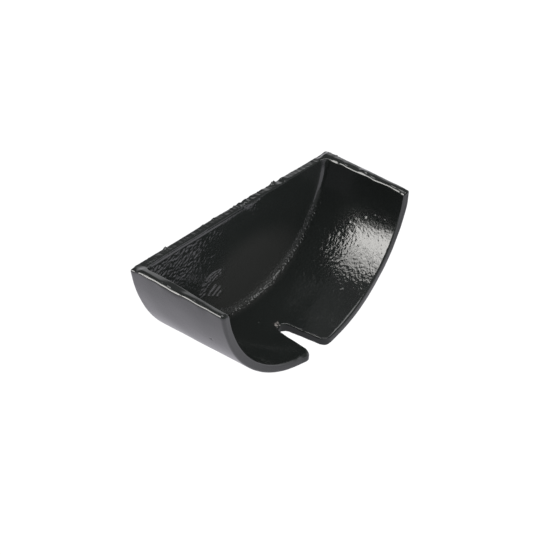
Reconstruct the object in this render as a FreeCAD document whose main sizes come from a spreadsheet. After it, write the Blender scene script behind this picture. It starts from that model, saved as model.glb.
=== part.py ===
import FreeCAD, Part
import math
import os
import sys

# End cap for a half-round gutter: one casting, sizes in millimetres and degrees.
# The X axis is the axis of the gutter's round and points out of the mouth.
# The origin lies where the bolt's upright line crosses that axis.
DOC = FreeCAD.newDocument("gutter_end_cap")
SHEET = DOC.addObject("Spreadsheet::Sheet", "Sizes")
BODY = DOC.addObject("PartDesign::Body", "EndCap")
BODY.Label = "end_cap"

SIZES = (
    ("socket_radius", "61.4", "radius of the inside round, which takes the gutter"),
    ("rim_drop", "6.75", "how far the rim lies below the round's axis"),
    ("socket_length", "48.0", "inside length from the plate to the mouth"),
    ("wall_mouth", "4.1", "wall thickness at the mouth"),
    ("wall_draft", "1.65", "draft of the outside, in degrees, thicker at the plate"),
    ("plate_thick", "4.0", "thickness of the end plate"),
    ("inner_fillet", "3.0", "rounding of the inside corner at the plate"),
    ("plate_round", "1.5", "rounding of the plate's outside edge"),
    ("slot_width", "7.0", "width of the bolt slot at its round end"),
    ("slot_depth", "24.0", "depth of the bolt slot from the mouth"),
    ("slot_taper", "5.2", "lean of each side of the bolt slot, in degrees"),
    ("slot_corner", "3.6", "rounding of the slot's corners at the mouth"),
    ("rim_corner", "2.0", "rounding of the rim's corners at the mouth"),
    ("edge_round", "1.0", "rounding of the free edges"),
)


def fill_sheet():
    """Write every driving size into the sheet and give it its alias."""
    for row, (alias, size, meaning) in enumerate(SIZES, start=1):
        SHEET.set("A%d" % row, alias)
        SHEET.set("B%d" % row, size)
        SHEET.setAlias("B%d" % row, alias)
        SHEET.set("C%d" % row, meaning)
    DOC.recompute()


def size(alias):
    """Read one driving size from the sheet."""
    return float(SHEET.get(alias))


def plane(role):
    """Find one of the body's own origin planes or axes."""
    return next(item for item in BODY.Origin.OriginFeatures if item.Role == role)


def sketch_on(role, name):
    """Start a sketch on an origin plane."""
    sketch = BODY.newObject("Sketcher::SketchObject", name)
    sketch.AttachmentSupport = [(plane(role), "")]
    sketch.MapMode = "FlatFace"
    return sketch


def line(sketch, start, end):
    """Add a line between two points given as pairs."""
    return sketch.addGeometry(
        Part.LineSegment(FreeCAD.Vector(*start, 0), FreeCAD.Vector(*end, 0)), False
    )


def arc(sketch, centre, radius, first, last):
    """Add an arc, counter-clockwise from the first angle to the last."""
    circle = Part.Circle(FreeCAD.Vector(*centre, 0), FreeCAD.Vector(0, 0, 1), radius)
    return sketch.addGeometry(Part.ArcOfCircle(circle, first, last), False)


def rule(sketch, *words):
    """Add a geometric constraint."""
    import Sketcher

    sketch.addConstraint(Sketcher.Constraint(*words))


def bind(sketch, name, words, start, formula):
    """Add a measured constraint and drive it from the sheet."""
    import Sketcher

    index = sketch.addConstraint(Sketcher.Constraint(*words, start))
    sketch.renameConstraint(index, name)
    sketch.setExpression("Constraints." + name, formula)


def section_sketch():
    """Draw half of the casting's section below the axis: plate, corner and drafted wall."""
    radius = size("socket_radius")
    mouth = size("slot_depth") - size("slot_width") / 2
    seat = mouth - size("socket_length")
    back = seat - size("plate_thick")
    draft = math.radians(size("wall_draft"))
    outer = radius + size("wall_mouth")
    fillet = size("inner_fillet")
    rounding = size("plate_round")
    grown = outer + (mouth - back) * math.tan(draft)
    down = -(grown - rounding)
    sketch = sketch_on("XZ_Plane", "Section")
    back_face = line(sketch, (back, 0), (back, down))
    corner = arc(sketch, (back + rounding, down), rounding, math.pi, 1.5 * math.pi + draft)
    skin = line(sketch, (back + rounding, -grown), (mouth, -outer))
    lip = line(sketch, (mouth, -outer), (mouth, -radius))
    bore = line(sketch, (mouth, -radius), (seat + fillet, -radius))
    hollow = arc(sketch, (seat + fillet, fillet - radius), fillet, math.pi, 1.5 * math.pi)
    seat_face = line(sketch, (seat, fillet - radius), (seat, 0))
    axis = line(sketch, (seat, 0), (back, 0))
    rule(sketch, "Tangent", back_face, 2, corner, 1)
    rule(sketch, "Tangent", corner, 2, skin, 1)
    rule(sketch, "Coincident", skin, 2, lip, 1)
    rule(sketch, "Coincident", lip, 2, bore, 1)
    rule(sketch, "Tangent", bore, 2, hollow, 2)
    rule(sketch, "Tangent", hollow, 1, seat_face, 1)
    rule(sketch, "Coincident", seat_face, 2, axis, 1)
    rule(sketch, "Coincident", axis, 2, back_face, 1)
    rule(sketch, "Vertical", back_face)
    rule(sketch, "Vertical", lip)
    rule(sketch, "Vertical", seat_face)
    rule(sketch, "Horizontal", bore)
    rule(sketch, "PointOnObject", axis, 1, -1)
    rule(sketch, "PointOnObject", axis, 2, -1)
    bind(sketch, "mouth", ("DistanceX", -1, 1, lip, 1), mouth,
         "Sizes.slot_depth - Sizes.slot_width / 2")
    bind(sketch, "length", ("DistanceX", seat_face, 2, lip, 2), mouth - seat, "Sizes.socket_length")
    bind(sketch, "plate", ("DistanceX", back_face, 1, seat_face, 2), seat - back, "Sizes.plate_thick")
    bind(sketch, "radius", ("DistanceY", lip, 2, -1, 1), radius, "Sizes.socket_radius")
    bind(sketch, "wall", ("DistanceY", lip, 1, lip, 2), outer - radius, "Sizes.wall_mouth")
    bind(sketch, "fillet", ("Radius", hollow), fillet, "Sizes.inner_fillet")
    bind(sketch, "rounding", ("Radius", corner), rounding, "Sizes.plate_round")
    bind(sketch, "draft", ("Angle", -1, 1, skin, 1), draft, "Sizes.wall_draft * 1 deg")
    DOC.recompute()
    return sketch


def revolve(sketch):
    """Turn the section half round about the gutter's axis, centred on the bottom."""
    casting = BODY.newObject("PartDesign::Revolution", "Casting")
    casting.Profile = (sketch, [""])
    casting.ReferenceAxis = (plane("X_Axis"), [""])
    casting.Angle = 180
    casting.Midplane = True
    sketch.Visibility = False
    DOC.recompute()
    return casting


def rim_sketch():
    """Draw the block of space above the rim, seen from the side."""
    radius = size("socket_radius")
    drop = size("rim_drop")
    sketch = sketch_on("XZ_Plane", "RimSpace")
    low = line(sketch, (-radius, -drop), (radius, -drop))
    right = line(sketch, (radius, -drop), (radius, radius))
    high = line(sketch, (radius, radius), (-radius, radius))
    left = line(sketch, (-radius, radius), (-radius, -drop))
    rule(sketch, "Coincident", low, 2, right, 1)
    rule(sketch, "Coincident", right, 2, high, 1)
    rule(sketch, "Coincident", high, 2, left, 1)
    rule(sketch, "Coincident", left, 2, low, 1)
    rule(sketch, "Horizontal", low)
    rule(sketch, "Horizontal", high)
    rule(sketch, "Vertical", left)
    rule(sketch, "Vertical", right)
    bind(sketch, "drop", ("DistanceY", low, 1, -1, 1), drop, "Sizes.rim_drop")
    bind(sketch, "front", ("DistanceX", -1, 1, low, 2), radius, "Sizes.socket_radius")
    bind(sketch, "behind", ("DistanceX", low, 1, -1, 1), radius, "Sizes.socket_radius")
    bind(sketch, "above", ("DistanceY", -1, 1, high, 1), radius, "Sizes.socket_radius")
    DOC.recompute()
    return sketch


def slot_sketch():
    """Draw the bolt slot from above: a round end and two leaning sides, open at the mouth."""
    half = size("slot_width") / 2
    reach = size("slot_depth")
    lean = math.radians(size("slot_taper"))
    touch = (-half * math.sin(lean), half * math.cos(lean))
    spread = (half + reach * math.sin(lean)) / math.cos(lean)
    sketch = sketch_on("XY_Plane", "Slot")
    end = arc(sketch, (0, 0), half, math.pi / 2 + lean, 1.5 * math.pi - lean)
    far = line(sketch, touch, (reach, spread))
    close = line(sketch, (reach, spread), (reach, -spread))
    near = line(sketch, (reach, -spread), (touch[0], -touch[1]))
    rule(sketch, "Coincident", end, 3, -1, 1)
    rule(sketch, "Tangent", end, 1, far, 1)
    rule(sketch, "Coincident", far, 2, close, 1)
    rule(sketch, "Coincident", close, 2, near, 1)
    rule(sketch, "Tangent", near, 2, end, 2)
    rule(sketch, "Symmetric", close, 1, close, 2, -1)
    bind(sketch, "width", ("Radius", end), half, "Sizes.slot_width / 2")
    bind(sketch, "reach", ("DistanceX", -1, 1, close, 1), reach, "Sizes.slot_depth")
    bind(sketch, "taper", ("Angle", -1, 1, far, 1), lean, "Sizes.slot_taper * 1 deg")
    DOC.recompute()
    return sketch


def cut(sketch, name, both_ways):
    """Cut a sketch right through the casting and make sure that it took material away."""
    before = BODY.Shape.Volume
    pocket = BODY.newObject("PartDesign::Pocket", name)
    pocket.Profile = (sketch, [""])
    pocket.Type = "ThroughAll"
    if both_ways:
        pocket.SideType = "Symmetric"
    sketch.Visibility = False
    DOC.recompute()
    if pocket.Shape.Volume >= before:
        raise RuntimeError(name + " cut nothing")
    return pocket


def blend(base, name, edges, alias):
    """Round the named edges of a feature with a size from the sheet."""
    if not edges:
        raise RuntimeError(name + " found no edge")
    fillet = BODY.newObject("PartDesign::Fillet", name)
    fillet.Base = (base, edges)
    fillet.Radius = size(alias)
    fillet.setExpression("Radius", "Sizes." + alias)
    base.Visibility = False
    DOC.recompute()
    return fillet


def mouth_edges(shape, direction):
    """Name the straight edges of the mouth's face that run in one direction."""
    mouth = size("slot_depth") - size("slot_width") / 2
    names = []
    for index, edge in enumerate(shape.Edges, start=1):
        ends = [vertex.Point for vertex in edge.Vertexes]
        if edge.Curve.TypeId != "Part::GeomLine" or len(ends) != 2:
            continue
        level = all(abs(point.x - mouth) < 1e-4 for point in ends)
        if level and abs((ends[1] - ends[0]).normalize().dot(direction)) > 0.999:
            names.append("Edge%d" % index)
    return names


def sharp_edges(shape):
    """Name every edge at which the two faces beside it meet at an angle."""
    names = []
    for index, edge in enumerate(shape.Edges, start=1):
        faces = shape.ancestorsOfType(edge, Part.Face)
        if len(faces) != 2:
            continue
        middle = edge.valueAt((edge.FirstParameter + edge.LastParameter) / 2)
        normals = [face.normalAt(*face.Surface.parameter(middle)) for face in faces]
        if normals[0].getAngle(normals[1]) > math.radians(20):
            names.append("Edge%d" % index)
    return names


def make_casting():
    """Build the casting from its section to its last rounding."""
    revolve(section_sketch())
    cut(rim_sketch(), "Rim", True)
    slot = cut(slot_sketch(), "BoltSlot", False)
    upright = mouth_edges(slot.Shape, FreeCAD.Vector(0, 0, 1))
    corners = blend(slot, "SlotCorners", upright, "slot_corner")
    across = mouth_edges(corners.Shape, FreeCAD.Vector(0, 1, 0))
    rims = blend(corners, "RimCorners", across, "rim_corner")
    return blend(rims, "EdgeRound", sharp_edges(rims.Shape), "edge_round")


def check_all():
    """Stop when any object of the document has an error or a bad shape."""
    for item in DOC.Objects:
        if "Invalid" in item.State or "Error" in item.State:
            raise RuntimeError(item.Name + " did not build")
        if item.isDerivedFrom("PartDesign::Feature"):
            if item.Shape.isNull() or not item.Shape.isValid():
                raise RuntimeError(item.Name + " has a bad shape")


def main():
    """Build the part and write its one piece."""
    fill_sheet()
    make_casting()
    check_all()
    os.makedirs("parts", exist_ok=True)
    BODY.Shape.exportStep("parts/end_cap.step")
    box = BODY.Shape.BoundBox
    sys.stdout.write(
        "end_cap: volume %.1f, faces %d, box %.2f %.2f %.2f to %.2f %.2f %.2f\n"
        % (BODY.Shape.Volume, len(BODY.Shape.Faces),
           box.XMin, box.YMin, box.ZMin, box.XMax, box.YMax, box.ZMax)
    )


main()
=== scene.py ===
"""Looks of a black-painted cast iron end cap for a half-round gutter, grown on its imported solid."""

import logging
import math
from dataclasses import dataclass, field
from enum import Enum

import bmesh
import bpy
import numpy as np
from mathutils import Matrix, Vector


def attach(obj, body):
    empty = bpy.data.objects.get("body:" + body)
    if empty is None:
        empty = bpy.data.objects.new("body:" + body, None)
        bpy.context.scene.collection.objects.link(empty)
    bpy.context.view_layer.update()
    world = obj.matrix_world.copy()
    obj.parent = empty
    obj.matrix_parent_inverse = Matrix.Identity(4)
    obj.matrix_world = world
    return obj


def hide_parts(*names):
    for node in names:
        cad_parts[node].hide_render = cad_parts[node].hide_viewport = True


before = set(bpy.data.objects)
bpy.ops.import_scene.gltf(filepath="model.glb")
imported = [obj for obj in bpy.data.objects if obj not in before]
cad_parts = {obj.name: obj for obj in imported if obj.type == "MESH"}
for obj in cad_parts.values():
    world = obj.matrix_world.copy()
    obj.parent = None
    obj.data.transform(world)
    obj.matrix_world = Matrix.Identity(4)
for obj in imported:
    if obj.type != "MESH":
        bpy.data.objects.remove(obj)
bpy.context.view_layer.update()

LOG = logging.getLogger("end_cap")
MM = 0.001
TINY = 1e-9
FULL_TURN = 2.0 * math.pi

Pair = tuple[float, float]
Triple = tuple[float, float, float]
Stops = tuple[Pair, ...]
Amount = np.ndarray | float

WHITE: Triple = (1.0, 1.0, 1.0)
WARM_WHITE: Triple = (1.0, 0.985, 0.955)
LAMP_TARGET = Vector((0.0, 0.0, -0.03))


def step(value: np.ndarray, low: float, high: float) -> np.ndarray:
    """Rise smoothly from 0 at low to 1 at high.

    Args:
        value: Numbers to map.
        low: Where the rise starts.
        high: Where it ends; below low the rise runs the other way.

    Returns:
        Shares from 0 to 1.
    """
    share = np.clip((value - low) / (high - low), 0.0, 1.0)
    return share * share * (3.0 - 2.0 * share)


def hump(value: np.ndarray, place: float, width: float) -> np.ndarray:
    """Make a smooth bump of height 1 at a place, falling off over a width."""
    return np.exp(-(((value - place) / width) ** 2))


def round_both(first: np.ndarray, second: np.ndarray, radius: Amount) -> np.ndarray:
    """Intersect two distance fields and round the corner where they meet.

    Args:
        first: Distance to one surface, negative inside.
        second: Distance to the other.
        radius: Radius of the corner in millimetres.

    Returns:
        Distance to the rounded shape.
    """
    inside = np.minimum(np.maximum(first, second), -radius)
    return inside + np.hypot(np.maximum(first + radius, 0.0), np.maximum(second + radius, 0.0))


@dataclass(frozen=True)
class Profile:
    """A number that changes along one line, added up from smooth rises and bumps.

    Attributes:
        level: The number where nothing else adds to it.
        rises: Amount, start and end of each rise.
        bumps: Amount, place and width of each bump.
    """

    level: float = 0.0
    rises: tuple[Triple, ...] = ()
    bumps: tuple[Triple, ...] = ()

    def at(self, value: np.ndarray) -> np.ndarray:
        """Add up the profile.

        Args:
            value: Places along the line.

        Returns:
            The number at each place.
        """
        total = np.full(len(value), self.level)
        for amount, low, high in self.rises:
            total += amount * step(value, low, high)
        for amount, place, width in self.bumps:
            total += amount * hump(value, place, width)
        return total


@dataclass(frozen=True)
class Span:
    """A stretch of one line with soft ends.

    Attributes:
        rise: Where its first end starts and is full.
        fall: Where its other end starts and is full, seen from outside.
        amount: The number in the stretch.
    """

    rise: Pair
    fall: Pair
    amount: float = 1.0

    def at(self, value: np.ndarray) -> np.ndarray:
        """Give the amount in the stretch and zero outside it."""
        return self.amount * step(value, *self.rise) * step(value, *self.fall)


@dataclass(frozen=True)
class Oval:
    """A soft oval patch on a face.

    Attributes:
        middle: Place of its middle.
        half: Its half widths.
        border: Where its border starts and is full, in half widths.
        amount: The number in the patch.
    """

    middle: Pair
    half: Pair
    border: Pair
    amount: float = 1.0

    def at(self, first: np.ndarray, second: np.ndarray) -> np.ndarray:
        """Give the amount in the patch and zero outside it.

        Args:
            first: Places along the face's first direction.
            second: Places along its second.

        Returns:
            The number at each place.
        """
        wide = (first - self.middle[0]) / self.half[0]
        tall = (second - self.middle[1]) / self.half[1]
        return self.amount * step(np.hypot(wide, tall), *self.border)


@dataclass(frozen=True)
class Ripple:
    """A random wavy field, made of plane waves in all directions.

    Attributes:
        seed: Start of the random draws.
        shortest: Shortest wave in millimetres.
        longest: Longest wave in millimetres.
        stretch: How many times longer the waves are along each axis.
        waves: How many waves are added up.
        strength: Mean height of the field.
    """

    seed: int
    shortest: float
    longest: float
    stretch: Triple = (1.0, 1.0, 1.0)
    waves: int = 64
    strength: float = 1.0

    def unit(self, points: np.ndarray) -> np.ndarray:
        """Sample the field at unit strength.

        Args:
            points: Places in millimetres, one row each.

        Returns:
            Heights with a mean square of one.
        """
        dice = np.random.default_rng(self.seed)
        ways = dice.normal(size=(self.waves, 3))
        ways /= np.linalg.norm(ways, axis=1)[:, None]
        lengths = dice.uniform(self.shortest, self.longest, self.waves)
        ways *= (FULL_TURN / lengths)[:, None] / np.array(self.stretch)
        turns = dice.uniform(0.0, FULL_TURN, self.waves)
        total = np.zeros(len(points))
        for way, turn in zip(ways, turns):
            total += np.cos(points @ way + turn)
        return total * math.sqrt(2.0 / self.waves)

    def at(self, points: np.ndarray) -> np.ndarray:
        """Sample the field at its own strength."""
        return self.strength * self.unit(points)

    def peaks(self, points: np.ndarray, over: float) -> np.ndarray:
        """Keep what rises over a level of the unit field, at the field's own strength."""
        return self.strength * np.maximum(self.unit(points) - over, 0.0)


@dataclass(frozen=True)
class RimLine:
    """Heights of one wall's rim, which is ground by hand to a crest.

    Attributes:
        stations: Place along the wall, place of the crest across it, and height of the rim's inside
            edge, crest and outside edge, in millimetres but for the second, which is a share.
        reach: How far along the wall each station pulls.
        crest_round: How softly the crest is rounded, as a share of the wall.
    """

    stations: tuple[tuple[float, float, float, float, float], ...]
    reach: float = 2.4
    crest_round: float = 0.08

    def at(self, x: np.ndarray, across: np.ndarray) -> np.ndarray:
        """Blend the stations and shape the roof between the rim's two edges.

        Args:
            x: Places along the wall.
            across: Places across the wall, 0 at its inside face and 1 at its outside face.

        Returns:
            Heights above the drawn rim.
        """
        rows = np.array(self.stations)
        pull = np.exp(-(((x[:, None] - rows[:, 0]) / self.reach) ** 2)) + TINY
        crest, inside, top, outside = (pull @ rows[:, 1:] / pull.sum(axis=1)[:, None]).T
        lead = crest - across
        bend = np.hypot(lead, self.crest_round)
        fall = (top - inside) / crest * (bend + lead)
        fall += (top - outside) / (1.0 - crest) * (bend - lead)
        return top - 0.5 * fall


@dataclass(frozen=True)
class EdgeWear:
    """How much wider or narrower hand finishing left the free edges, as shares of their radius.

    Attributes:
        near_inner: Along the inside edge of the near wall's rim.
        near_outer: Along the outside edge of the near wall's rim.
        far_inner: Along the inside edge of the far wall's rim.
        far_outer: Along the outside edge of the far wall's rim.
        far_top: The same, at the very top alone.
        slot_side: Along the inside edge of the slot's far side.
        slot_under: On the outside edge of that side.
        plate: On the plate's rim.
        far_lip: Across the inside edge of the mouth beyond the slot.
        near_lip: Across the inside edge of the mouth before the slot.
        waver: Slow change all along the edges.
        limits: Least and most that is left of the radius.
    """

    near_inner: Profile = Profile(-0.4, rises=((0.5, -8.0, 4.0),), bumps=((0.7, -24.5, 2.5),))
    near_outer: Profile = Profile(0.05, rises=((0.4, -10.0, -1.0),), bumps=((-0.4, -21.5, 4.5),))
    far_inner: Profile = Profile(-0.1, rises=((0.2, -3.0, 3.0), (0.15, 8.0, 18.0), (-0.5, -22.5, -24.0)))
    far_outer: Profile = Profile(rises=((-0.35, -6.0, -18.0), (-0.3, -20.0, -26.0)))
    far_top: Profile = Profile(rises=((0.15, 0.0, 14.0),))
    slot_side: Profile = Profile(-0.62, bumps=((0.7, 7.2, 2.0), (0.7, 15.2, 2.9)))
    slot_under: float = -0.25
    plate: float = -0.6
    far_lip: Span = Span((7.0, 9.0), (34.0, 24.0), 0.15)
    near_lip: Span = Span((-2.0, -5.0), (-16.0, -10.0), 0.9)
    waver: Ripple = Ripple(13, 5.0, 11.0, waves=24, strength=0.05)
    limits: Pair = (0.2, 2.6)


@dataclass
class Unevenness:
    """How the hand-finished casting departs from its drawing at each point, in millimetres.

    Attributes:
        rim: Height of the rim.
        edge: Radius of the free edges.
        bend: How far the wall's outside is drawn in.
        fillet: Radius of the inside corner.
    """

    rim: np.ndarray
    edge: np.ndarray
    bend: np.ndarray
    fillet: np.ndarray


@dataclass
class CastingForm:
    """The casting's form as a distance field, in millimetres and in the part's frame.

    Attributes:
        socket_radius: Radius of the half-round inside.
        rim_drop: How far the rim lies below the axis.
        mouth: Place of the mouth along X.
        socket_length: Depth of the inside from the mouth to the plate.
        plate_thick: Thickness of the plate.
        wall_mouth: Thickness of the wall at the mouth.
        wall_draft: Angle by which the outside grows towards the plate.
        inner_fillet: Radius of the corner between wall and plate.
        plate_round: Radius of the plate's outside edge.
        slot_half: Radius of the bolt slot's round end.
        slot_shift: Place of that end's middle along X.
        slot_taper: Angle by which each side of the slot leans out.
        slot_corner: Radius of the corners between slot and mouth.
        rim_corner: Radius of the corners between rim and mouth.
        edge_round: Usual radius of the free edges.
        wall_rim: Places across where the plate's rim starts and ends to pass into a wall's rim.
        near_rim: Crest of the near wall.
        far_rim: Crest of the far wall.
        rim_waver: Slow waver of the rim.
        nibs: Flash that stands on the plate's back edge, across it.
        plate_crest: Height of the plate's rim across it.
        plate_slant: Rise of that rim for each millimetre from the back.
        slant_run: How far that rise goes on.
        crest_waver: Fine waver of that rim.
        wall_waver: Waver of the wall's outside under the rim.
        near_bend: How far the near wall is drawn in at the plate.
        fillet_change: Change of the inside corner's radius by the angle about the axis.
        fillet_waver: Slow change of that radius.
        wear: Wear of the free edges.
    """

    socket_radius: float = 61.4
    rim_drop: float = 6.75
    mouth: float = 20.5
    socket_length: float = 48.0
    plate_thick: float = 4.0
    wall_mouth: float = 4.1
    wall_draft: float = math.radians(1.65)
    inner_fillet: float = 3.0
    plate_round: float = 1.0
    slot_half: float = 3.15
    slot_shift: float = 0.3
    slot_taper: float = math.radians(5.9)
    slot_corner: float = 3.6
    rim_corner: float = 2.0
    edge_round: float = 1.0
    wall_rim: Pair = (57.0, 61.0)
    near_rim: RimLine = RimLine(
        (
            (-32.0, 0.60, -0.1, 0.1, -0.1),
            (-29.6, 0.60, -0.1, 0.15, -0.1),
            (-26.4, 0.62, -0.2, 0.85, 0.15),
            (-24.0, 0.64, -0.25, 0.9, 0.35),
            (-20.0, 0.68, -0.2, 0.8, -0.2),
            (-16.0, 0.74, -0.15, 0.68, 0.1),
            (-12.0, 0.76, 0.0, 0.35, -0.5),
            (-8.0, 0.74, -0.3, -0.25, -0.9),
            (-4.5, 0.70, -0.3, -0.2, -0.85),
            (-1.5, 0.58, -0.55, 0.15, 0.1),
            (2.0, 0.53, -0.6, 0.05, 0.1),
            (6.0, 0.50, -0.75, -0.2, -0.25),
            (9.5, 0.51, -0.95, -0.42, -0.42),
            (14.0, 0.54, -1.05, -0.5, -0.35),
            (20.0, 0.57, -1.05, -0.55, -0.45),
        ),
    )
    far_rim: RimLine = RimLine(
        (
            (-32.0, 0.45, -0.1, -0.15, 0.75),
            (-28.0, 0.32, 0.15, 0.75, 0.3),
            (-24.5, 0.30, 0.2, 0.85, 0.6),
            (-20.8, 0.27, 0.0, 1.2, 0.35),
            (-17.0, 0.40, 0.8, 0.75, 0.3),
            (-13.0, 0.50, 0.3, 0.5, 0.2),
            (-9.5, 0.50, 0.15, 0.35, 0.1),
            (-5.0, 0.27, 0.0, 1.2, 0.0),
            (-1.0, 0.45, 0.35, 0.45, 0.0),
            (3.0, 0.50, -0.15, 0.1, -0.12),
            (7.0, 0.50, 0.05, 0.15, -0.3),
            (11.0, 0.50, 0.15, 0.2, -0.25),
            (15.0, 0.50, -0.25, 0.0, -0.25),
            (20.0, 0.50, -0.85, -0.35, -0.3),
        ),
        reach=2.0,
    )
    rim_waver: Ripple = Ripple(11, 14.0, 34.0, waves=24, strength=0.03)
    nibs: Profile = Profile(
        bumps=(
            (1.1, -45.6, 0.6),
            (0.25, -22.0, 0.8),
            (0.45, -14.7, 0.8),
            (0.2, -3.4, 0.9),
            (0.35, -1.0, 0.5),
            (0.6, 2.0, 0.6),
            (0.4, 6.0, 1.6),
            (0.55, 10.6, 1.0),
            (0.3, 17.6, 1.0),
            (1.8, 26.3, 1.2),
            (0.4, 32.5, 0.8),
        )
    )
    plate_crest: Profile = Profile(
        level=-0.14,
        rises=((-0.12, 33.0, 38.0), (-0.18, 34.0, 50.0), (-0.12, 49.0, 54.0)),
        bumps=((0.2, 2.0, 16.0), (-0.12, -32.0, 12.0), (-0.25, 22.5, 3.5), (-0.5, 30.0, 1.8)),
    )
    plate_slant: float = 0.058
    slant_run: float = 4.6
    crest_waver: Ripple = Ripple(12, 1.6, 4.5, waves=32, strength=0.02)
    wall_waver: Ripple = Ripple(14, 5.0, 11.0, waves=24, strength=0.05)
    near_bend: float = 0.16
    fillet_change: Profile = Profile(rises=((-0.9, 50.0, 64.0), (1.8, 77.0, 84.0)))
    fillet_waver: Ripple = Ripple(15, 5.0, 12.0, waves=24, strength=0.2)
    wear: EdgeWear = EdgeWear()

    @property
    def seat(self) -> float:
        """Place of the plate's inside face along X."""
        return self.mouth - self.socket_length

    @property
    def back(self) -> float:
        """Place of the plate's outside face along X."""
        return self.seat - self.plate_thick

    @property
    def foot(self) -> float:
        """Depth of the outside's lowest line straight below the origin."""
        return self.socket_radius + self.wall_mouth + self.mouth * math.tan(self.wall_draft)

    def around(self, points: np.ndarray) -> np.ndarray:
        """Distance of each place from the axis."""
        return np.hypot(points[:, 1], points[:, 2])

    def turn(self, points: np.ndarray) -> np.ndarray:
        """Angle of each place about the axis in degrees, 0 at the bottom and 90 at the far side."""
        return np.degrees(np.arctan2(points[:, 1], -points[:, 2]))

    def flare(self, points: np.ndarray) -> np.ndarray:
        """How much thicker the draft makes the wall at each place than it is at the mouth."""
        return (self.mouth - points[:, 0]) * math.tan(self.wall_draft)

    def shell(self, points: np.ndarray, bend: Amount = 0.0) -> np.ndarray:
        """Distance to the drafted outside of the wall."""
        reach = self.socket_radius + self.wall_mouth - bend + self.flare(points)
        return (self.around(points) - reach) * math.cos(self.wall_draft)

    def outside(self, points: np.ndarray, bend: Amount = 0.0) -> np.ndarray:
        """Distance to the drafted outside with its plate, without any opening.

        Args:
            points: Places in millimetres.
            bend: How far the wall is drawn in at each.

        Returns:
            Distances, negative inside.
        """
        sharper = 0.5 * step(points[:, 1], 40.0, 60.0) * step(points[:, 2], -22.0, -12.0)
        wall, plate = self.shell(points, bend), self.back - points[:, 0]
        return round_both(wall, plate, self.plate_round - sharper)

    def hollow(self, points: np.ndarray, fillet: Amount | None = None) -> np.ndarray:
        """Distance to the half-round space for the gutter, negative in the space."""
        corner = self.inner_fillet if fillet is None else fillet
        return round_both(self.around(points) - self.socket_radius, self.seat - points[:, 0], corner)

    def slot(self, points: np.ndarray) -> np.ndarray:
        """Distance to the bolt slot seen from above.

        Args:
            points: Places in millimetres.

        Returns:
            Distances, negative in the slot.
        """
        x = points[:, 0] - self.slot_shift
        y = np.abs(points[:, 1])
        lean, rise = math.cos(self.slot_taper), math.sin(self.slot_taper)
        side = y * lean - x * rise - self.slot_half
        return np.where(x * lean + y * rise > 0.0, side, np.hypot(x, y) - self.slot_half)

    def openings(self, points: np.ndarray, rim: Amount) -> np.ndarray:
        """Distance to the space inside the mouth and under the rim, with the slot taken out.

        Args:
            points: Places in millimetres.
            rim: Height of the rim at each.

        Returns:
            Distances, negative in the space.
        """
        x, y, z = points.T
        bottom = 0.15 * step(z, -45.0, -58.0)
        far_tip = 0.3 * hump(z, -15.0, 4.0) * step(y, 40.0, 55.0)
        near_lip = 0.45 * step(y, -13.0, -7.0) * step(y, 1.0, -1.0)
        mouth = self.mouth + bottom + far_tip + near_lip
        slot_corner = self.slot_corner + 0.4 * step(y, 2.0, -2.0)
        rim_corner = self.rim_corner - 0.9 * step(y, 20.0, 50.0)
        edge = round_both(x - mouth, -self.slot(points), slot_corner)
        return round_both(edge, z - rim, rim_corner)

    def across(self, points: np.ndarray) -> np.ndarray:
        """Place across the wall, from 0 at its inside face to 1 at its outside face."""
        wall = self.wall_mouth + self.flare(points)
        return np.clip((self.around(points) - self.socket_radius) / wall, 0.0, 1.0)

    def rim_height(self, points: np.ndarray) -> np.ndarray:
        """Height of the rim, which is crowned along both walls and falls to the back along the plate.

        Args:
            points: Places near the surface.

        Returns:
            Height of the rim at each place, in millimetres from the axis.
        """
        x, y, _ = points.T
        across = self.across(points)
        near, far = step(-y, *self.wall_rim), step(y, *self.wall_rim)
        height = -self.rim_drop + self.rim_waver.at(points * (1.0, 1.0, 0.0))
        height += near * self.near_rim.at(x, across)
        height += far * self.far_rim.at(x, across)
        height += self.plate_rim(points)
        near_drop = 0.3 * step(y, -53.0, -57.0) * step(x, self.back + 5.5, self.back + 2.5)
        far_drop = 0.8 * far * step(x, self.back + 3.0, self.back + 0.6)
        flash = step(x, self.back + 1.3, self.back + 0.7) * self.nibs.at(y)
        return height - near_drop - far_drop + flash

    def plate_rim(self, points: np.ndarray) -> np.ndarray:
        """Height that the plate's rim adds: a slant to the back, low places and a fine waver.

        Args:
            points: Places near the surface.

        Returns:
            Heights above the drawn rim, zero away from the plate.
        """
        x, y, _ = points.T
        plate = step(np.abs(y), 62.0, 57.0) * step(x, self.seat + 3.0, self.seat + 0.8)
        slant = self.plate_slant * np.clip(x - self.back, 0.0, self.slant_run)
        waver = self.crest_waver.at(points * (0.0, 1.0, 0.0))
        return plate * (slant + self.plate_crest.at(y) + waver)

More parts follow.
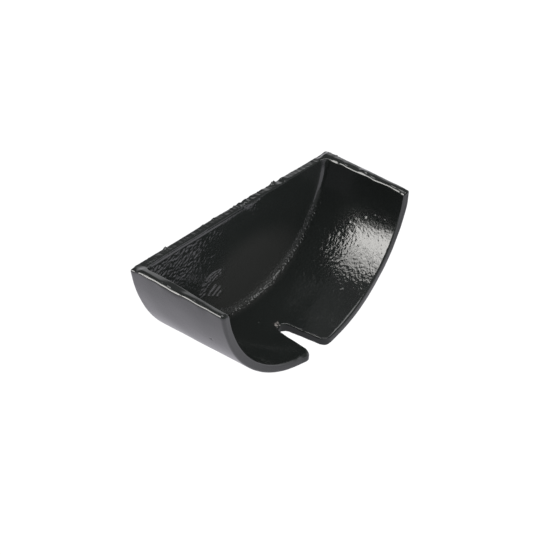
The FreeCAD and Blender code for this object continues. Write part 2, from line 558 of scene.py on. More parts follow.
    def edge_radius(self, points: np.ndarray) -> np.ndarray:
        """Radius of the free edges, which hand finishing left wider along parts of the rim.

        Args:
            points: Places near the surface.

        Returns:
            The radius at each place in millimetres.
        """
        x, y, z = points.T
        wear = self.wear
        high = step(z, -22.0, -12.0)
        inner = step(self.across(points), 0.65, 0.35)
        outer = 1.0 - inner
        near, far = high * step(y, -46.0, -58.0), high * step(y, 46.0, 58.0)
        wide = near * inner * wear.near_inner.at(x)
        wide += near * outer * wear.near_outer.at(x)
        wide += far * inner * wear.far_inner.at(x)
        wide += far * outer * (wear.far_outer.at(x) + wear.far_top.at(x) * step(z, -13.0, -9.0))
        front = step(x, self.seat + 3.0, self.seat + 0.5) * step(np.abs(y), 60.0, 56.0)
        rear = step(x, self.back + 3.0, self.back + 1.0) * step(y, -64.5, -61.0)
        wide += wear.plate * high * (front + rear)
        slot = step(self.slot(points), 3.0, 1.5)
        wide += slot * inner * step(y, -2.0, 2.0) * wear.slot_side.at(x)
        wide += slot * wear.slot_under * step(inner + step(y, 2.0, -2.0), 1.0, 0.5)
        lips = step(x, 16.5, 19.0) * step(z, -40.0, -50.0) * inner
        wide += lips * (wear.far_lip.at(y) + wear.near_lip.at(y))
        wide += (1.0 + slot) * wear.waver.at(points)
        return self.edge_round * np.clip(1.0 + wide, *wear.limits)

    def uneven(self, points: np.ndarray) -> Unevenness:
        """Work out the unevenness at each point.

        Args:
            points: Places near the surface.

        Returns:
            Rim height, edge radius, bend of the near wall and corner fillet at each place.
        """
        x, y, z = points.T
        bend = self.wall_waver.at(points * (1.0, 0.0, 0.0)) * step(z, -12.0, -8.0)
        bend += self.near_bend * step(x, -20.0, -30.0) * step(y, -40.0, -60.0) * step(z, -34.0, -24.0)
        fillet = self.inner_fillet + self.fillet_change.at(self.turn(points))
        fillet += self.fillet_waver.at(points)
        return Unevenness(self.rim_height(points), self.edge_radius(points), bend, fillet)

    def distance(self, points: np.ndarray, uneven: Unevenness) -> np.ndarray:
        """Distance to the whole casting, negative in the iron."""
        skin = np.maximum(self.outside(points, uneven.bend), -self.hollow(points, uneven.fillet))
        return round_both(skin, self.openings(points, uneven.rim), uneven.edge)

    def slope(self, points: np.ndarray, uneven: Unevenness, reach: float = 0.05) -> np.ndarray:
        """Slope of the distance field at each place.

        Args:
            points: Places in millimetres.
            uneven: Unevenness at those places.
            reach: Half the span of each difference.

        Returns:
            One gradient per place, about of unit length.
        """
        slope = np.empty_like(points)
        for axis in range(3):
            shift = np.zeros(3)
            shift[axis] = reach
            ahead = self.distance(points + shift, uneven)
            slope[:, axis] = ahead - self.distance(points - shift, uneven)
        return slope / (2.0 * reach)

    def settle(
        self, points: np.ndarray, rounds: int = 5, least_square: float = 0.2
    ) -> tuple[np.ndarray, np.ndarray]:
        """Move points along the slope until they lie on the form.

        Args:
            points: Places near the surface.
            rounds: How many moves to make.
            least_square: Least squared slope, which keeps the moves short at sharp places.

        Returns:
            The places on the surface and the outward direction at each.
        """
        uneven = self.uneven(points)
        for _ in range(rounds):
            slope = self.slope(points, uneven)
            square = np.maximum((slope * slope).sum(axis=1), least_square)
            points = points - slope * (self.distance(points, uneven) / square)[:, None]
        slope = self.slope(points, uneven)
        return points, slope / np.maximum(np.linalg.norm(slope, axis=1), TINY)[:, None]


@dataclass
class CastSkin:
    """Fine relief of the cast iron under its paint, in millimetres along the form's slope.

    Attributes:
        form: The form that carries the relief.
        streak_lean: Lean of the streaks in the sand.
        scar: Places across and up along a rough crescent on the plate's inside face.
        strokes: First and last place of the short ridges below it.
        flakes: Roughness of the scar and the ridges.
        rib: Rib and groove under the plate's rim, by height.
        rib_run: How far they run across the plate.
        hole_patch: Place across and up of small holes in the plate's near corner.
        holes: Waves that make them.
        sand_patch: Thin sand in the plate's middle.
        streak_patch: Coarse streaks in the sand.
        streaks: Waves that make them.
        grit: Grains on the sand.
        beads: Beads along the inside corner.
        crest_grain: Grain of the plate's rim.
        crest_flaw: Height of that grain across the plate.
        dent_patch: Place along and across of shallow dents by the slot.
        dents: Waves that make them.
        swell: Long waves all over the skin.
        peel: Short waves all over the skin.
        deep_draft: Height of the far wall's swell away from the mouth, by angle.
        thin_draft: Height of its swell everywhere, by angle.
        wall_grain: Grain of the paint on the inside, by angle.
        painted_sheen_patch: Faint primer colour low on the plate, a painted sheen that lightens it.
        chip_place: Place of the small chip in the paint.
        chip_half: Half widths of that chip.
        chip_edge: Waves of its ragged edge.
        specks: Place, width and height of small lumps, or of a pit where the height is negative.
    """

    form: CastingForm
    streak_lean: float = math.radians(18.0)
    scar: tuple[Pair, ...] = (
        (-12.5, -36.0),
        (-18.6, -35.2),
        (-22.4, -36.8),
        (-24.4, -39.6),
        (-25.6, -41.8),
    )
    strokes: tuple[tuple[float, float, float, float], ...] = (
        (-21.6, -44.6, -17.0, -41.2),
        (-19.0, -46.2, -14.4, -43.4),
        (-16.2, -47.6, -12.4, -45.6),
    )
    flakes: Ripple = Ripple(26, 1.0, 1.7, (1.0, 1.8, 1.0))
    rib: Profile = Profile(bumps=((0.12, -8.95, 0.38), (-0.1, -7.95, 0.55)))
    rib_run: Span = Span((-62.0, -57.0), (14.0, 4.0))
    hole_patch: Oval = Oval((-54.0, -13.0), (7.0, 5.0), (1.0, 0.5))
    holes: Ripple = Ripple(29, 1.8, 3.0, strength=-0.3)
    sand_patch: Oval = Oval((-12.0, -28.0), (24.0, 20.0), (1.0, 0.7), 0.25)
    streak_patch: Oval = Oval((-40.0, -16.5), (15.0, 11.0), (1.3, 0.6), 0.75)
    streaks: Ripple = Ripple(23, 1.0, 1.7, (1.0, 2.0, 1.0), strength=0.08)
    grit: Ripple = Ripple(24, 0.95, 1.8, strength=0.05)
    beads: Ripple = Ripple(25, 0.95, 1.6, strength=0.24)
    crest_grain: Ripple = Ripple(28, 1.3, 2.6)
    crest_flaw: Profile = Profile(0.008, bumps=((0.1, 4.0, 5.0),))
    dent_patch: Oval = Oval((1.0, 12.0), (12.0, 8.0), (1.0, 0.6))
    dents: Ripple = Ripple(27, 2.0, 4.0, strength=-0.06)
    swell: Ripple = Ripple(21, 16.0, 40.0, strength=0.045)
    peel: Ripple = Ripple(22, 3.2, 6.0, strength=0.005)
    deep_draft: Span = Span((22.0, 40.0), (67.0, 49.0), 0.4)
    thin_draft: Span = Span((30.0, 50.0), (72.0, 56.0), 0.06)
    wall_grain: Profile = Profile(0.2, rises=((0.65, 20.0, 38.0), (-0.42, 50.0, 57.0), (-0.25, 58.0, 62.0)))
    # Faint primer colour over the plate's low middle: a painted sheen that lightens it.
    painted_sheen_patch: Oval = Oval((6.0, -46.0), (42.0, 26.0), (1.0, 0.45), 0.05)
    chip_place: Triple = (-4.0, -0.5, -61.3)
    chip_half: Pair = (1.3, 2.1)
    chip_edge: Ripple = Ripple(31, 0.9, 1.8, waves=24, strength=0.5)
    specks: tuple[tuple[float, float, float, float, float], ...] = (
        (-11.8, -5.0, -61.2, 0.5, 0.3),
        (7.1, 56.9, -23.1, 0.36, 0.11),
        (11.0, 58.0, -20.1, 0.36, 0.11),
        (9.6, 56.7, -23.6, 0.36, 0.11),
        (13.1, 56.8, -23.3, 0.36, 0.11),
        (2.8, 55.8, -25.6, 0.36, 0.11),
        (-2.1, 54.5, -28.2, 0.36, 0.11),
        (-4.6, 53.3, -30.5, 0.36, 0.11),
        (-11.1, 51.7, -33.2, 0.36, 0.11),
        (-12.6, 47.6, -38.8, 0.36, 0.11),
        (8.2, 32.3, -52.2, 0.5, 0.25),
        (-24.0, 54.5, -28.3, 0.5, 0.3),
        (9.0, -60.2, -27.0, 0.7, -0.28),
    )

    def inside(self, points: np.ndarray) -> np.ndarray:
        """Share of the inside skin, without the free edges."""
        return step(np.abs(self.form.hollow(points)), 0.9, 0.25) * self.clear(points)

    def clear(self, points: np.ndarray) -> np.ndarray:
        """Share of the skin away from the free edges."""
        return step(self.form.openings(points, -self.form.rim_drop), -0.5, -1.3)

    def corner(self, points: np.ndarray) -> np.ndarray:
        """Share of the inside corner at the plate, where it is beaded.

        Args:
            points: Places near the surface.

        Returns:
            Shares from 0 to 1.
        """
        gap = points[:, 0] - self.form.seat
        drop = self.form.socket_radius - self.form.around(points)
        band = step(gap, 4.4, 2.6) * step(drop, 4.4, 2.6) * self.inside(points)
        return band * step(self.form.turn(points), 66.0, 57.0)

    def plate(self, points: np.ndarray) -> np.ndarray:
        """Share of the plate's inside face."""
        return step(points[:, 0] - self.form.seat, 2.4, 0.8) * self.inside(points)

    def sand(self, points: np.ndarray) -> np.ndarray:
        """Share of sand texture: most at the near end of the plate and along its lower border.

        Args:
            points: Places near the surface.

        Returns:
            Shares from 0 to 1.
        """
        _, y, z = points.T
        drop = self.form.socket_radius - self.form.around(points)
        border = 0.6 * step(drop, 16.0, 7.0) * step(self.form.turn(points), 44.0, 30.0)
        patches = [step(y, -4.0, -26.0), border, self.sand_patch.at(y, z)]
        return self.plate(points) * np.maximum.reduce(patches)

    def streaky(self, points: np.ndarray) -> np.ndarray:
        """Share of coarse leaning streaks in the sand."""
        return 1.0 - self.streak_patch.amount + self.streak_patch.at(points[:, 1], points[:, 2])

    def crest(self, points: np.ndarray) -> np.ndarray:
        """Share of the plate's own rim, which the mould left grainy.

        Args:
            points: Places near the surface.

        Returns:
            Shares from 0 to 1.
        """
        x, y, z = points.T
        top = step(x, self.form.seat + 1.0, self.form.seat) * step(z, -8.0, -7.2)
        return top * step(np.abs(y), 62.0, 58.0)

    def chip(self, points: np.ndarray) -> np.ndarray:
        """Share of primer showing through at the small chip by the slot's round end.

        Args:
            points: Places near the surface.

        Returns:
            Shares from 0 to 1.
        """
        along, over, up = (points - np.array(self.chip_place)).T
        away = np.hypot((along + over) / self.chip_half[0], (along - over) / self.chip_half[1])
        away += 10.0 * step(np.abs(up), 0.5, 1.0)
        return step(away + self.chip_edge.at(points), 1.05, 0.55)

    def primer_and_sheen(self, points: np.ndarray) -> np.ndarray:
        """Share of primer colour: at the chip, and faintly low on the plate as a painted sheen.

        Args:
            points: Places near the surface.

        Returns:
            Shares from 0 to 1.
        """
        x, y, z = points.T
        # Painted sheen: a faint wash of primer colour over the plate's low middle.
        painted_sheen = self.painted_sheen_patch.at(y, z) * step(x - self.form.seat, 6.0, 3.0)
        return np.maximum(self.chip(points), painted_sheen)

    def grain(self, points: np.ndarray) -> np.ndarray:
        """Strength of the paint's fine grain for the finish.

        Args:
            points: Places near the surface.

        Returns:
            Strengths from 0 up to about 1.
        """
        x, turn, inside = points[:, 0], self.form.turn(points), self.inside(points)
        wall = inside * self.wall_grain.at(turn)
        wall += 0.3 * inside * hump(turn, 44.0, 8.0) * step(x, 4.0, -8.0)
        wall += 0.2 * inside * hump(turn, 55.0, 9.0) * step(x, 6.0, 14.0)
        wall += 0.05 * self.sand(points) + 0.5 * self.corner(points)
        return 0.03 + wall + 0.4 * self.crest(points)

    def marks(self, points: np.ndarray) -> np.ndarray:
        """Height of the rib, scar, short ridges, holes and shallow dish on the plate's inside face.

        Args:
            points: Places near that face.

        Returns:
            Heights in millimetres.
        """
        _, y, z = points.T
        spot = np.stack([y, z], axis=1)
        lines = [(*start, *end) for start, end in zip(self.scar, self.scar[1:])]
        crescent = np.min([self.reach(spot, line) for line in lines], axis=0)
        scratch = np.min([self.reach(spot, line) for line in self.strokes], axis=0)
        rough = self.weave(points, self.flakes)
        scar = step(crescent, 2.8, 1.6) * (0.28 + 0.18 * rough)
        ridges = step(scratch, 1.2, 0.2) * (0.38 + 0.08 * rough)
        rib = self.rib_run.at(y) * self.rib.at(z)
        holes = self.hole_patch.at(y, z) * self.holes.peaks(points, 0.3)
        drop = self.form.socket_radius - self.form.around(points)
        dish = step(y, -6.0, -32.0) * step(drop, 3.0, 10.0) * np.clip((-8.8 - z) / 14.0, 0.0, 1.0)
        return rib + scar + holes + ridges - 0.9 * dish

    def weave(self, points: np.ndarray, ripple: Ripple, skew: float = 0.16) -> np.ndarray:
        """Make leaning streaks that are steep on top and lie flat below.

        Args:
            points: Places on the plate's inside face.
            ripple: Waves to lean and skew; the streaks run along their second axis.
            skew: How far the crests are pushed up, in millimetres.

        Returns:
            Heights of about the waves' own strength.
        """
        x, y, z = points.T
        along = y * math.cos(self.streak_lean) + z * math.sin(self.streak_lean)
        over = z * math.cos(self.streak_lean) - y * math.sin(self.streak_lean)
        lead = skew * ripple.unit(np.stack([x, along, over], axis=1))
        return ripple.at(np.stack([x, along, over - lead], axis=1))

    @staticmethod
    def reach(spot: np.ndarray, line: tuple[float, float, float, float]) -> np.ndarray:
        """Measure how far flat points are from a short line.

        Args:
            spot: Places on the plate, one row of two numbers each.
            line: The line's first and last place.

        Returns:
            Distances in millimetres.
        """
        start, end = np.array(line[:2]), np.array(line[2:])
        run = end - start
        share = np.clip((spot - start) @ run / (run @ run), 0.0, 1.0)
        return np.linalg.norm(spot - start - share[:, None] * run, axis=1)

    def height(self, points: np.ndarray) -> np.ndarray:
        """Add up the relief.

        Args:
            points: Places on the smooth form.

        Returns:
            How far each place moves out along the slope.
        """
        x, y, z = points.T
        inside = self.inside(points)
        streaks = self.streaky(points) * self.weave(points, self.streaks)
        sand = self.sand(points) * step(z, -8.9, -10.4) * (streaks + self.grit.peaks(points, 0.6))
        beads = self.corner(points) * self.beads.peaks(points, 0.1)
        beads += self.crest(points) * self.crest_flaw.at(y) * self.crest_grain.at(points)
        dents = self.dent_patch.at(x, y) * inside * self.dents.peaks(points, 0.5)
        for *place, width, tall in self.specks:
            away = np.linalg.norm(points - np.array(place), axis=1)
            dents += tall * hump(away, 0.0, width)
        turn = self.form.turn(points)
        draft = inside * (step(x, 14.0, -5.0) * self.deep_draft.at(turn) + self.thin_draft.at(turn))
        waves = self.swell.at(points) + self.peel.at(points)
        return waves + sand + beads + dents + draft + self.plate(points) * self.marks(points)

    def gleams(self, points: np.ndarray) -> np.ndarray:
        """Say where the mesh has to be finest: one at the edges that catch the light, zero elsewhere.

        Args:
            points: Places near the surface.

        Returns:
            Shares from 0 to 1.
        """
        form = self.form
        x, y, z = points.T
        edge = step(form.openings(points, form.rim_height(points)), -1.3, -0.9)
        inner = edge * step(form.hollow(points), 1.3, 0.9)
        outer = edge * step(form.outside(points), -1.3, -0.9)
        high = step(z, -13.0, -10.0)
        near, far = high * step(y, -54.0, -57.0) * outer, high * step(y, 54.0, 57.0) * inner
        slot = step(form.slot(points), 1.6, 1.1) * step(y, -0.5, 0.5) * inner
        lip = step(x, 17.5, 18.5) * step(y, 5.0, 7.0) * step(y, 36.0, 33.0) * step(z, -30.0, -40.0)
        return np.maximum.reduce([near, far, slot, lip * inner])

    def detail(self, points: np.ndarray) -> np.ndarray:
        """Say where the mesh has to be fine: at edges, sand, corners and specks.

        Args:
            points: Places near the surface.

        Returns:
            Shares, over a half where the mesh has to be fine.
        """
        form = self.form
        edges = step(form.openings(points, -form.rim_drop), -3.0, -2.6)
        border = step(form.shell(points), -2.2, -1.8) * step(form.back - points[:, 0], -2.2, -1.8)
        share = np.maximum.reduce([edges, border, self.corner(points) * 2.0, self.sand(points) * 1.4])
        for *place, width, _ in self.specks:
            away = np.linalg.norm(points - np.array(place), axis=1)
            share = np.maximum(share, step(away, 5.0 * width, 3.0 * width))
        return share


@dataclass(frozen=True)
class GlossPaint:
    """Gloss black paint over a cast skin, with a chip down to its primer.

    Attributes:
        name: Name of the material.
        colour: Colour of the paint.
        cloudy: Colour of its paler clouds.
        primer: Colour of the primer, shown at the chip and as a faint painted sheen low on the plate.
        gloss: Least roughness.
        satin: Most roughness.
        ior: Index of refraction of the paint.
        clouds: Waves per metre and finer layers of the clouds.
        sheen: The same for the roughness.
        peel: The same for the fine grain.
        peel_depth: Depth of that grain in metres.
    """

    name: str = "black_paint"
    colour: Triple = (0.0080, 0.0094, 0.0088)
    cloudy: Triple = (0.0105, 0.0118, 0.0112)
    primer: Triple = (0.185, 0.172, 0.164)
    gloss: float = 0.10
    satin: float = 0.17
    ior: float = 1.5
    clouds: Pair = (60.0, 4.0)
    sheen: Pair = (240.0, 3.0)
    peel: Pair = (640.0, 1.0)
    peel_depth: float = 0.00023

    def make(self) -> bpy.types.Material:
        """Make the node material.

        Returns:
            The finished material.
        """
        material = bpy.data.materials.new(self.name)
        material.use_nodes = True
        nodes, links = material.node_tree.nodes, material.node_tree.links
        shader = nodes["Principled BSDF"]
        shader.inputs["IOR"].default_value = self.ior
        place = nodes.new("ShaderNodeTexCoord")
        tint = self.blend(material, self.colour, self.cloudy, self.noise(material, place, *self.clouds))
        # Primer colour at the chip and, faintly, low on the plate as a painted sheen.
        coat = self.blend(material, self.colour, self.primer, self.stored(material, "primer_and_sheen"))
        links.new(tint, next(socket for socket in coat.node.inputs if socket.identifier == "A_Color"))
        links.new(coat, shader.inputs["Base Color"])
        shine = nodes.new("ShaderNodeMapRange")
        shine.inputs["To Min"].default_value = self.gloss
        shine.inputs["To Max"].default_value = self.satin
        links.new(self.noise(material, place, *self.sheen), shine.inputs["Value"])
        links.new(shine.outputs["Result"], shader.inputs["Roughness"])
        grain = nodes.new("ShaderNodeBump")
        grain.inputs["Distance"].default_value = self.peel_depth
        links.new(self.noise(material, place, *self.peel), grain.inputs["Height"])
        links.new(self.stored(material, "grain"), grain.inputs["Strength"])
        links.new(grain.outputs["Normal"], shader.inputs["Normal"])
        return material

    @staticmethod
    def stored(material: bpy.types.Material, name: str) -> bpy.types.NodeSocket:
        """Read a number that is kept at each vertex.

        Args:
            material: The material to add the reader to.
            name: Name under which the mesh keeps the number.

        Returns:
            The socket with the number.
        """
        reader = material.node_tree.nodes.new("ShaderNodeAttribute")
        reader.attribute_name = name
        return reader.outputs["Fac"]

    @staticmethod
    def blend(
        material: bpy.types.Material, first: Triple, second: Triple, share: bpy.types.NodeSocket
    ) -> bpy.types.NodeSocket:
        """Mix two colours by a share that varies over the surface.

        Args:
            material: The material to add it to.
            first: Colour where the share is 0.
            second: Colour where the share is 1.
            share: The socket that gives the share.

        Returns:
            The socket with the mixed colour.
        """
        mix = material.node_tree.nodes.new("ShaderNodeMix")
        mix.data_type = "RGBA"
        sockets = {socket.identifier: socket for socket in mix.inputs}
        sockets["A_Color"].default_value = (*first, 1.0)
        sockets["B_Color"].default_value = (*second, 1.0)
        material.node_tree.links.new(share, sockets["Factor_Float"])
        return next(socket for socket in mix.outputs if socket.identifier == "Result_Color")

    @staticmethod
    def noise(
        material: bpy.types.Material, place: bpy.types.Node, scale: float, detail: float
    ) -> bpy.types.NodeSocket:
        """Add a noise texture in the part's own coordinates.

        Args:
            material: The material to add it to.
            place: Its texture coordinate node.
            scale: Waves per metre.
            detail: How many finer layers it has.

        Returns:
            The socket with the noise's value.
        """
        noise = material.node_tree.nodes.new("ShaderNodeTexNoise")
        noise.inputs["Scale"].default_value = scale
        noise.inputs["Detail"].default_value = detail
        material.node_tree.links.new(place.outputs["Object"], noise.inputs["Vector"])
        return noise.outputs["Fac"]


@dataclass
class EndCap:
    """The one casting: its skin mesh and its paint.

    Attributes:
        form: The form that the skin is brought onto.
        paint: The finish.
        grid: Size of the first, coarse quads in millimetres.
        node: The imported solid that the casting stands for.
    """

    form: CastingForm = field(default_factory=CastingForm)
    paint: GlossPaint = field(default_factory=GlossPaint)
    grid: float = 1.3
    node: str = "end_cap"

    def blank(self) -> bpy.types.Mesh:
        """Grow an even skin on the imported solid.

        Returns:
            A mesh of small quads that closely follows the solid.
        """
        solid = bpy.data.objects.new("blank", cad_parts[self.node].data.copy())
        bpy.context.scene.collection.objects.link(solid)
        skin = solid.modifiers.new("skin", "REMESH")
        skin.mode = "VOXEL"
        skin.voxel_size = self.grid * MM
        skin.use_smooth_shade = True
        graph = bpy.context.evaluated_depsgraph_get()
        mesh = bpy.data.meshes.new_from_object(solid.evaluated_get(graph))
        bpy.data.objects.remove(solid)
        mesh.name = "cast_skin"
        return mesh

    @staticmethod
    def refine(mesh: bpy.types.Mesh, share: np.ndarray, wanted: float = 0.5) -> None:
        """Split the quads whose corners all have a share of fine detail.

        Args:
            mesh: The skin so far.
            share: A number at each vertex.
            wanted: The share over which a corner is to be finer.
        """
        work = bmesh.new()
        work.from_mesh(mesh)
        edges = set()
        for face in work.faces:
            if min(share[corner.index] for corner in face.verts) > wanted:
                edges.update(face.edges)
        bmesh.ops.subdivide_edges(work, edges=list(edges), cuts=1, use_grid_fill=True)
        work.to_mesh(mesh)
        work.free()

    def even(
        self, mesh: bpy.types.Mesh, rounds: int = 4, slide: float = 0.6
    ) -> tuple[np.ndarray, np.ndarray]:
        """Even out the quads by sliding their corners along the form.

        Args:
            mesh: The skin so far.
            rounds: How many moves to make.
            slide: How far each corner moves towards the middle of its neighbours.

        Returns:
            The places on the surface and the outward direction at each.
        """
        points, slope = self.form.settle(self.places(mesh))
        pairs = np.empty(len(mesh.edges) * 2, np.int32)
        mesh.edges.foreach_get("vertices", pairs)
        first, second = pairs.reshape(-1, 2).T
        count = np.bincount(pairs, minlength=len(points))
        for _ in range(rounds):
            middle = np.empty_like(points)
            for axis in range(3):
                total = np.bincount(first, points[second, axis], len(points))
                total += np.bincount(second, points[first, axis], len(points))
                middle[:, axis] = total / count
            move = middle - points
            move -= slope * (move * slope).sum(axis=1)[:, None]
            points, slope = self.form.settle(points + slide * move, rounds=2)
        return self.form.settle(points)

    @staticmethod
    def places(mesh: bpy.types.Mesh) -> np.ndarray:
        """Read a mesh's vertices.

        Args:
            mesh: The mesh, in metres.

        Returns:
            One row of three numbers per vertex, in millimetres.
        """
        flat = np.empty(len(mesh.vertices) * 3, np.float32)
        mesh.vertices.foreach_get("co", flat)
        return flat.reshape(-1, 3).astype(float) / MM

    @staticmethod
    def store(mesh: bpy.types.Mesh, name: str, values: np.ndarray) -> None:
        """Keep one number per vertex for the finish."""
        mesh.attributes.new(name, "FLOAT", "POINT").data.foreach_set("value", values.astype(np.float32))

    def build(self) -> bpy.types.Object:
        """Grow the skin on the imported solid, bring it onto the form and add the relief.

        Returns:
            The finished piece.
        """
        mesh = self.blank()
        relief = CastSkin(self.form)
        for share in (relief.detail, relief.detail, relief.gleams):
            points, _ = self.form.settle(self.places(mesh))
            self.refine(mesh, share(points))
        points, slope = self.even(mesh)
        self.store(mesh, "grain", relief.grain(points))
        # Primer colour at the chip, plus a faint painted sheen low on the plate.
        self.store(mesh, "primer_and_sheen", relief.primer_and_sheen(points))
        points = points + slope * relief.height(points)[:, None]
        mesh.vertices.foreach_set("co", (points * MM).astype(np.float32).ravel())
        mesh.polygons.foreach_set("use_smooth", np.ones(len(mesh.polygons), bool))
        mesh.update()
        piece = bpy.data.objects.new("casting", mesh)
        bpy.context.scene.collection.objects.link(piece)
        return piece

    def dress(self, piece: bpy.types.Object) -> None:
        """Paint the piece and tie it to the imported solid.

        Args:
            piece: The skin made by build.
        """
        piece.data.materials.clear()
        piece.data.materials.append(self.paint.make())
        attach(piece, "root")
        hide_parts(self.node)


@dataclass
class Viewpoint:
    """The camera, as found from the outline in the photograph.

    Attributes:
        place: Where it stands, in millimetres.
        lens: Its focal length in millimetres.
        sensor: Width of its picture plane in millimetres.
        azimuth: Direction it looks along, in degrees.
        height: How far above the horizon it stands, in degrees.
        lean: How far the casting tips forward on the floor, in degrees.
    """

    place: Triple = (283.43, -353.96, 297.24)
    lens: float = 80.08
    sensor: float = 36.0
    azimuth: float = 40.0916
    height: float = 34.9612
    lean: float = 1.65

    def build(self) -> None:
        """Make the camera and hand it to the scene."""
        data = bpy.data.cameras.new("view")
        data.lens = self.lens
        data.sensor_width = self.sensor
        camera = bpy.data.objects.new("view", data)
        azimuth, height = math.radians(self.azimuth), math.radians(self.height)
        flat = math.cos(height)
        back = Vector((math.sin(azimuth) * flat, -math.cos(azimuth) * flat, math.sin(height)))
        right = Vector((math.cos(azimuth), math.sin(azimuth), 0.0))
        turn = Matrix((right, back.cross(right), back)).transposed()
        lean = Matrix.Rotation(-math.radians(self.lean), 3, "Y")
        camera.matrix_world = Matrix.Translation(Vector(self.place) * MM) @ (lean @ turn).to_4x4()
        bpy.context.scene.collection.objects.link(camera)
        bpy.context.scene.camera = camera


@dataclass(frozen=True)
class Softbox:
    """One soft light.

    Attributes:
        azimuth: Direction in which it hangs, in degrees.
        height: Its height above the horizon, in degrees.
        away: Its distance in metres.
        size: Its width and height in metres.
        bright: How bright its face is.
        tint: Its colour.
        gleams: Whether it shows in the paint's gloss.
        washes: Whether it lights the paint's own colour.
    """

    azimuth: float
    height: float
    away: float
    size: Pair
    bright: float
    tint: Triple = WHITE
    gleams: bool = True
    washes: bool = True


class Lamp(Enum):
    """The studio's lights."""

    WINDOW = Softbox(-122.0, 31.0, 1.0, (0.56, 0.64), 6.1, WARM_WHITE, washes=False)
    PANE = Softbox(-123.0, 28.0, 0.99, (0.54, 0.46), 3.4, WARM_WHITE, washes=False)
    LOW_PANE = Softbox(-123.0, 26.0, 0.98, (0.52, 0.26), 4.2, WARM_WHITE, washes=False)
    OVERHEAD = Softbox(100.0, 85.0, 1.1, (0.8, 0.8), 3.4)
    FILL = Softbox(-18.0, 36.0, 1.5, (1.5, 1.5), 5.0, gleams=False)

    def hang(self) -> None:
        """Make the light and aim it at the casting."""
        box = self.value
        data = bpy.data.lights.new(self.name.lower(), "AREA")
        data.shape = "RECTANGLE"
        data.size, data.size_y = box.size
        data.energy = box.bright * math.pi * box.size[0] * box.size[1]
        data.color = box.tint
        azimuth, height = math.radians(box.azimuth), math.radians(box.height)
        flat = math.cos(height)
        way = Vector((math.cos(azimuth) * flat, math.sin(azimuth) * flat, math.sin(height)))
        light = bpy.data.objects.new(data.name, data)
        turn = (-way).to_track_quat("-Z", "Y").to_matrix().to_4x4()
        light.matrix_world = Matrix.Translation(way * box.away + LAMP_TARGET) @ turn
        light.visible_glossy = box.gleams
        light.visible_diffuse = box.washes
        bpy.context.scene.collection.objects.link(light)


def set_stops(ramp: bpy.types.Node, stops: Stops, tint: Triple) -> None:
    """Set the stops of a colour ramp.

    Args:
        ramp: The new ramp node, with its first and last stop.
        stops: Places and light levels.
        tint: Colour at a level of one.
    """
    row = ramp.color_ramp.elements
    for element, (place, level) in zip(row, (stops[0], stops[-1])):
        element.position = place
        element.color = (*(level * part for part in tint), 1.0)
    for place, level in stops[1:-1]:
        row.new(place).color = (*(level * part for part in tint), 1.0)


@dataclass(frozen=True)
class Shade:
    """One soft oval of shade on a floor.

    Attributes:
        shift: How far the oval's middle lies off, in ovals.
        scale: One over the oval's half widths in metres.
        stops: How much light is left at places from the middle to the border.
        tint: Colour of the floor.
    """

    shift: Pair
    scale: Pair
    stops: Stops
    tint: Triple = WHITE

    def add(self, tree: bpy.types.NodeTree) -> bpy.types.NodeSocket:
        """Add the shade to a floor's nodes.

        Args:
            tree: The floor's nodes.

        Returns:
            The socket with the shaded colour.
        """
        place = tree.nodes.new("ShaderNodeTexCoord")
        squash = tree.nodes.new("ShaderNodeMapping")
        squash.inputs["Scale"].default_value = (*self.scale, 0.0)
        squash.inputs["Location"].default_value = (*self.shift, 0.0)
        length = tree.nodes.new("ShaderNodeVectorMath")
        length.operation = "LENGTH"
        ramp = tree.nodes.new("ShaderNodeValToRGB")
        set_stops(ramp, self.stops, self.tint)
        tree.links.new(place.outputs["Object"], squash.inputs["Vector"])
        tree.links.new(squash.outputs["Vector"], length.inputs[0])
        tree.links.new(length.outputs["Value"], ramp.inputs["Fac"])
        return ramp.outputs["Color"]


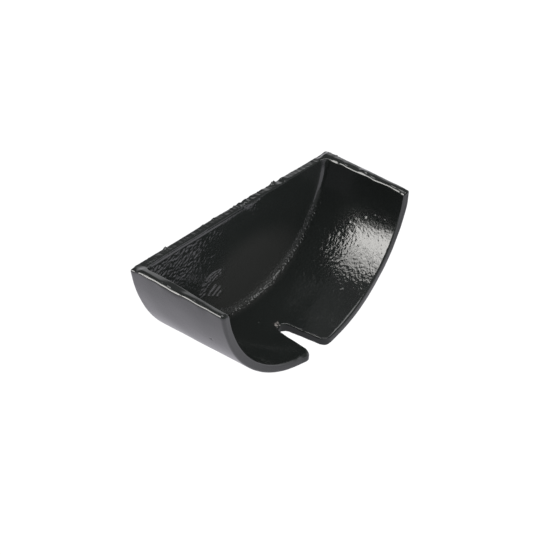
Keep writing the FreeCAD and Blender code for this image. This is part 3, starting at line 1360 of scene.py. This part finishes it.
@dataclass
class Studio:
    """A white floor, its shaded twin that only mirrors see, soft lights and a dim room.

    Attributes:
        form: The form that stands on the floor.
        floor_half: Half the floor's width in metres.
        floor_drop: How far the floor lies under the casting's bottom line, in millimetres.
        twin_drop: The same for the twin.
        floor_light: How bright the floor is.
        contact: Shade of the twin under the casting.
        cast: Shade of the twin beyond the casting's far lip.
        room_tint: Colour of the room.
        backdrop_way: Direction of the pale backdrop.
        backdrop_fade: Share of that direction at which the backdrop starts and is full.
        dim_stops: Light of the room by height.
        pale_stops: Light of the backdrop by height.
    """

    form: CastingForm = field(default_factory=CastingForm)
    floor_half: float = 10.0
    floor_drop: float = 0.15
    twin_drop: float = 0.2
    floor_light: float = 1.06
    contact: Shade = Shade(
        shift=(0.2, 0.0),
        scale=(7.14, 9.29),
        stops=((0.214, 0.38), (0.543, 0.72), (0.69, 0.97), (0.964, 1.2)),
        tint=(1.10, 1.075, 1.16),
    )
    cast: Shade = Shade(
        shift=(-0.8, -1.63),
        scale=(13.3, 13.3),
        stops=((0.3, 0.36), (0.95, 1.0)),
    )
    room_tint: Triple = (1.0, 1.0, 1.02)
    backdrop_way: Triple = (-0.64, 0.77, 0.0)
    backdrop_fade: Pair = (0.1, 0.6)
    dim_stops: Stops = ((0.0, 0.9), (0.06, 0.5), (0.3, 0.2))
    pale_stops: Stops = ((0.0, 1.05), (0.34, 1.05), (0.52, 0.2))

    def sheet(self, name: str, drop: float) -> bpy.types.Object:
        """Lay one large flat sheet under the casting's drafted bottom line.

        Args:
            name: Name of the sheet and its material.
            drop: How far it lies under that line, in millimetres.

        Returns:
            The sheet, with an empty glowing material.
        """
        mesh = bpy.data.meshes.new(name)
        half = self.floor_half
        corners = [(-half, -half, 0.0), (half, -half, 0.0), (half, half, 0.0), (-half, half, 0.0)]
        mesh.from_pydata(corners, [], [(0, 1, 2, 3)])
        sheet = bpy.data.objects.new(name, mesh)
        place = Matrix.Translation((0.0, 0.0, -(drop + self.form.foot) * MM))
        sheet.matrix_world = place @ Matrix.Rotation(-self.form.wall_draft, 4, "Y")
        paper = bpy.data.materials.new(name)
        paper.use_nodes = True
        paper.node_tree.nodes.clear()
        glow = paper.node_tree.nodes.new("ShaderNodeEmission")
        glow.inputs["Strength"].default_value = self.floor_light
        end = paper.node_tree.nodes.new("ShaderNodeOutputMaterial")
        paper.node_tree.links.new(glow.outputs[0], end.inputs["Surface"])
        mesh.materials.append(paper)
        bpy.context.scene.collection.objects.link(sheet)
        return sheet

    def floors(self) -> None:
        """Lay the floor and the twin that is shaded where the casting touches it."""
        floor = self.sheet("floor", self.floor_drop)
        floor.visible_glossy = False
        floor.visible_diffuse = False
        shaded = self.sheet("shaded_floor", self.twin_drop)
        shaded.visible_camera = False
        tree = shaded.data.materials[0].node_tree
        both = tree.nodes.new("ShaderNodeVectorMath")
        both.operation = "MULTIPLY"
        tree.links.new(self.contact.add(tree), both.inputs[0])
        tree.links.new(self.cast.add(tree), both.inputs[1])
        tree.links.new(both.outputs["Vector"], tree.nodes["Emission"].inputs["Color"])

    def room(self) -> None:
        """Fill the rest of the room with a dim light, pale low down behind the casting."""
        world = bpy.data.worlds.new("room")
        bpy.context.scene.world = world
        world.use_nodes = True
        nodes, links = world.node_tree.nodes, world.node_tree.links
        way = nodes.new("ShaderNodeTexCoord")
        split = nodes.new("ShaderNodeSeparateXYZ")
        links.new(way.outputs["Generated"], split.inputs["Vector"])
        behind = nodes.new("ShaderNodeVectorMath")
        behind.operation = "DOT_PRODUCT"
        behind.inputs[1].default_value = self.backdrop_way
        links.new(way.outputs["Generated"], behind.inputs[0])
        fade = nodes.new("ShaderNodeMapRange")
        fade.inputs["From Min"].default_value = self.backdrop_fade[0]
        fade.inputs["From Max"].default_value = self.backdrop_fade[1]
        links.new(behind.outputs["Value"], fade.inputs["Value"])
        mix = nodes.new("ShaderNodeMix")
        mix.data_type = "RGBA"
        sockets = {socket.identifier: socket for socket in mix.inputs}
        links.new(fade.outputs["Result"], sockets["Factor_Float"])
        for name, stops in (("A_Color", self.dim_stops), ("B_Color", self.pale_stops)):
            ramp = nodes.new("ShaderNodeValToRGB")
            set_stops(ramp, stops, self.room_tint)
            links.new(split.outputs["Z"], ramp.inputs["Fac"])
            links.new(ramp.outputs["Color"], sockets[name])
        result = next(socket for socket in mix.outputs if socket.identifier == "Result_Color")
        links.new(result, nodes["Background"].inputs["Color"])

    def build(self) -> None:
        """Set up the floor, the lights and the room."""
        self.floors()
        for lamp in Lamp:
            lamp.hang()
        self.room()
        bpy.context.scene.view_settings.view_transform = "Standard"


def main() -> None:
    """Build the casting, its surroundings and the camera."""
    logging.basicConfig(level=logging.INFO)
    cap = EndCap()
    piece = cap.build()
    cap.dress(piece)
    triangles = sum(len(face.vertices) - 2 for face in piece.data.polygons)
    LOG.info("%s: %d faces, %d triangles", piece.name, len(piece.data.polygons), triangles)
    Studio().build()
    Viewpoint().build()


if __name__ == "__main__":
    main()
